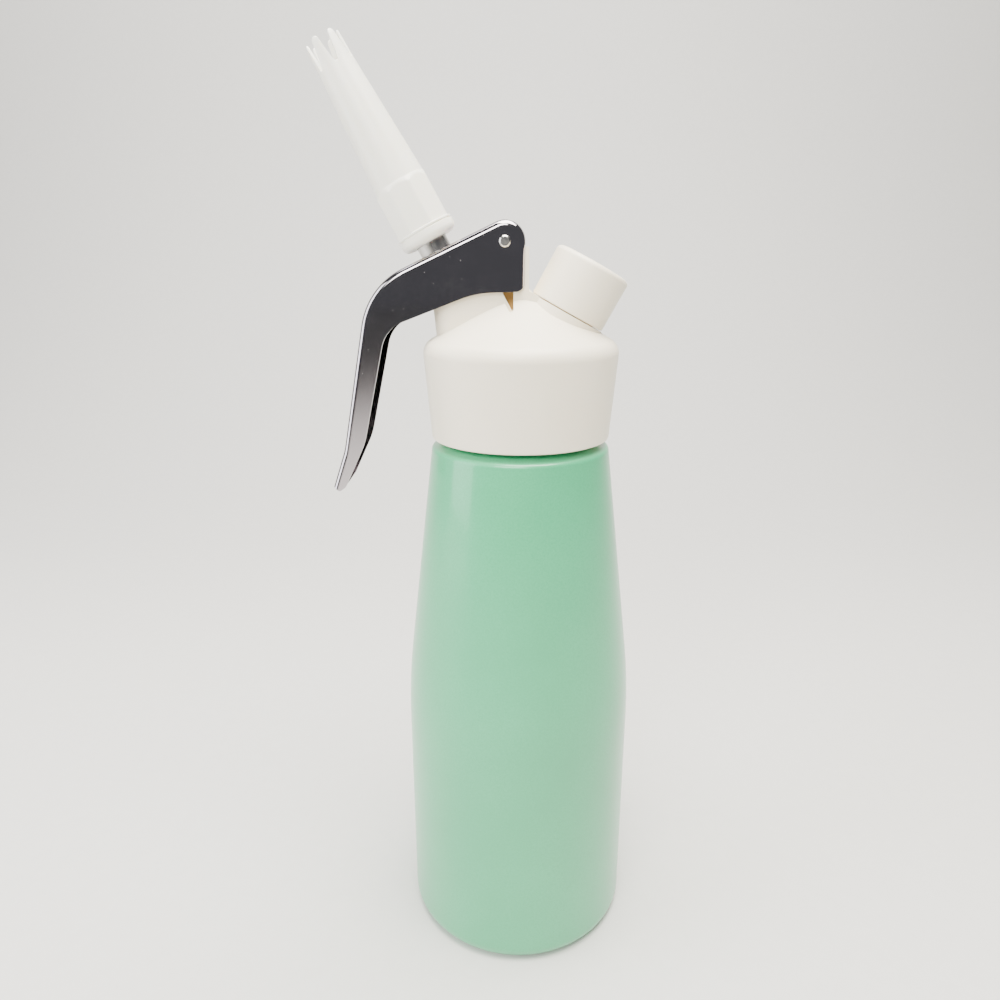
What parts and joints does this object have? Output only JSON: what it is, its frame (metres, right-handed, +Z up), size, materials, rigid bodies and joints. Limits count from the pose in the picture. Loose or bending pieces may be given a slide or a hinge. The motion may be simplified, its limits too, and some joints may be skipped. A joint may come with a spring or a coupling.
{
  "type": "whipped cream dispenser",
  "caption": "Hand-held cream dispenser: tapered bottle, screw-on domed head, squeeze lever over a tilted sprung valve, toothed nozzle, capped gas charger port.",
  "frame": {"origin": "middle of the bottle's flat foot, on the bottle's axis", "axes": "+Z up the bottle, +X from the lever's handle towards the charger port, +Y across, away from the viewer; the part is mirrored about Y = 0 apart from the pin's snap ring"},
  "size_m": [0.1036, 0.08, 0.3041],
  "materials": {
    "bottle_enamel": "satin enamel",
    "shell_plastic": "semi gloss",
    "nozzle_plastic": "semi gloss",
    "lever_chrome": "polished",
    "steel": "turned",
    "spring_steel": "drawn wire",
    "brass": "machined",
    "seal_rubber": "matt"
  },
  "bodies": {
    "bottle": {"bottle": "bottle_enamel"},
    "gasket": {"head_gasket": "seal_rubber"},
    "head": {"head_shell": "shell_plastic", "head_core": "brass", "lever_pin": "steel", "pin_clip": "steel", "gland_bush": "brass", "stem_rings": "seal_rubber", "spring_washer": "steel", "valve_spring": "spring_steel", "piercing_pin": "steel", "gas_filter": "brass", "charger_gasket": "seal_rubber", "nonreturn_valve": "seal_rubber"},
    "lever": {"lever": "lever_chrome"},
    "stem": {"valve_stem": "steel", "stem_collar": "steel", "valve_seal": "seal_rubber", "valve_nut": "brass"},
    "nozzle_seal": {"nozzle_washer": "seal_rubber"},
    "nozzle": {"nozzle": "nozzle_plastic"},
    "cap_seal": {"cap_washer": "seal_rubber"},
    "cap": {"port_cap": "shell_plastic"}
  },
  "joints": [
    {"name": "head_lift", "type": "slide", "parent": "bottle", "child": "gasket", "axis": [0, 0, 1], "range_m": [0, 0.009]},
    {"name": "head_turn", "type": "hinge", "parent": "gasket", "child": "head", "pos_m": [0, 0, 0.2], "axis": [0, 0, 1], "range_deg": [0, 810]},
    {"name": "lever_squeeze", "type": "hinge", "parent": "head", "child": "lever", "pos_m": [-0.0053, 0, 0.2452], "axis": [0, -1, 0], "range_deg": [0, 10], "stiffness_Nm_per_rad": 1.2, "springref_deg": -8.59},
    {"name": "stem_press", "type": "slide", "parent": "head", "child": "stem", "axis": [0.4772, 0, -0.8788], "range_m": [0, 0.0036], "deforming": ["valve_spring"]},
    {"name": "nozzle_lift", "type": "slide", "parent": "stem", "child": "nozzle_seal", "axis": [-0.4772, 0, 0.8788], "range_m": [0, 0.006]},
    {"name": "nozzle_turn", "type": "hinge", "parent": "nozzle_seal", "child": "nozzle", "pos_m": [-0.0283, 0, 0.2452], "axis": [-0.4772, 0, 0.8788], "range_deg": [0, 1440]},
    {"name": "cap_lift", "type": "slide", "parent": "head", "child": "cap_seal", "axis": [0.4772, 0, 0.8788], "range_m": [0, 0.007]},
    {"name": "cap_turn", "type": "hinge", "parent": "cap_seal", "child": "cap", "pos_m": [0.0148, 0, 0.2239], "axis": [0.4772, 0, 0.8788], "range_deg": [0, 1260]}
  ],
  "couplings": [
    {"joint": "head_lift", "follows": "head_turn", "m_per_rad": 0.0006366},
    {"joint": "stem_press", "follows": "lever_squeeze", "m_per_rad": 0.020213},
    {"joint": "nozzle_lift", "follows": "nozzle_turn", "m_per_rad": 0.0002387},
    {"joint": "cap_lift", "follows": "cap_turn", "m_per_rad": 0.0003183}
  ]
}
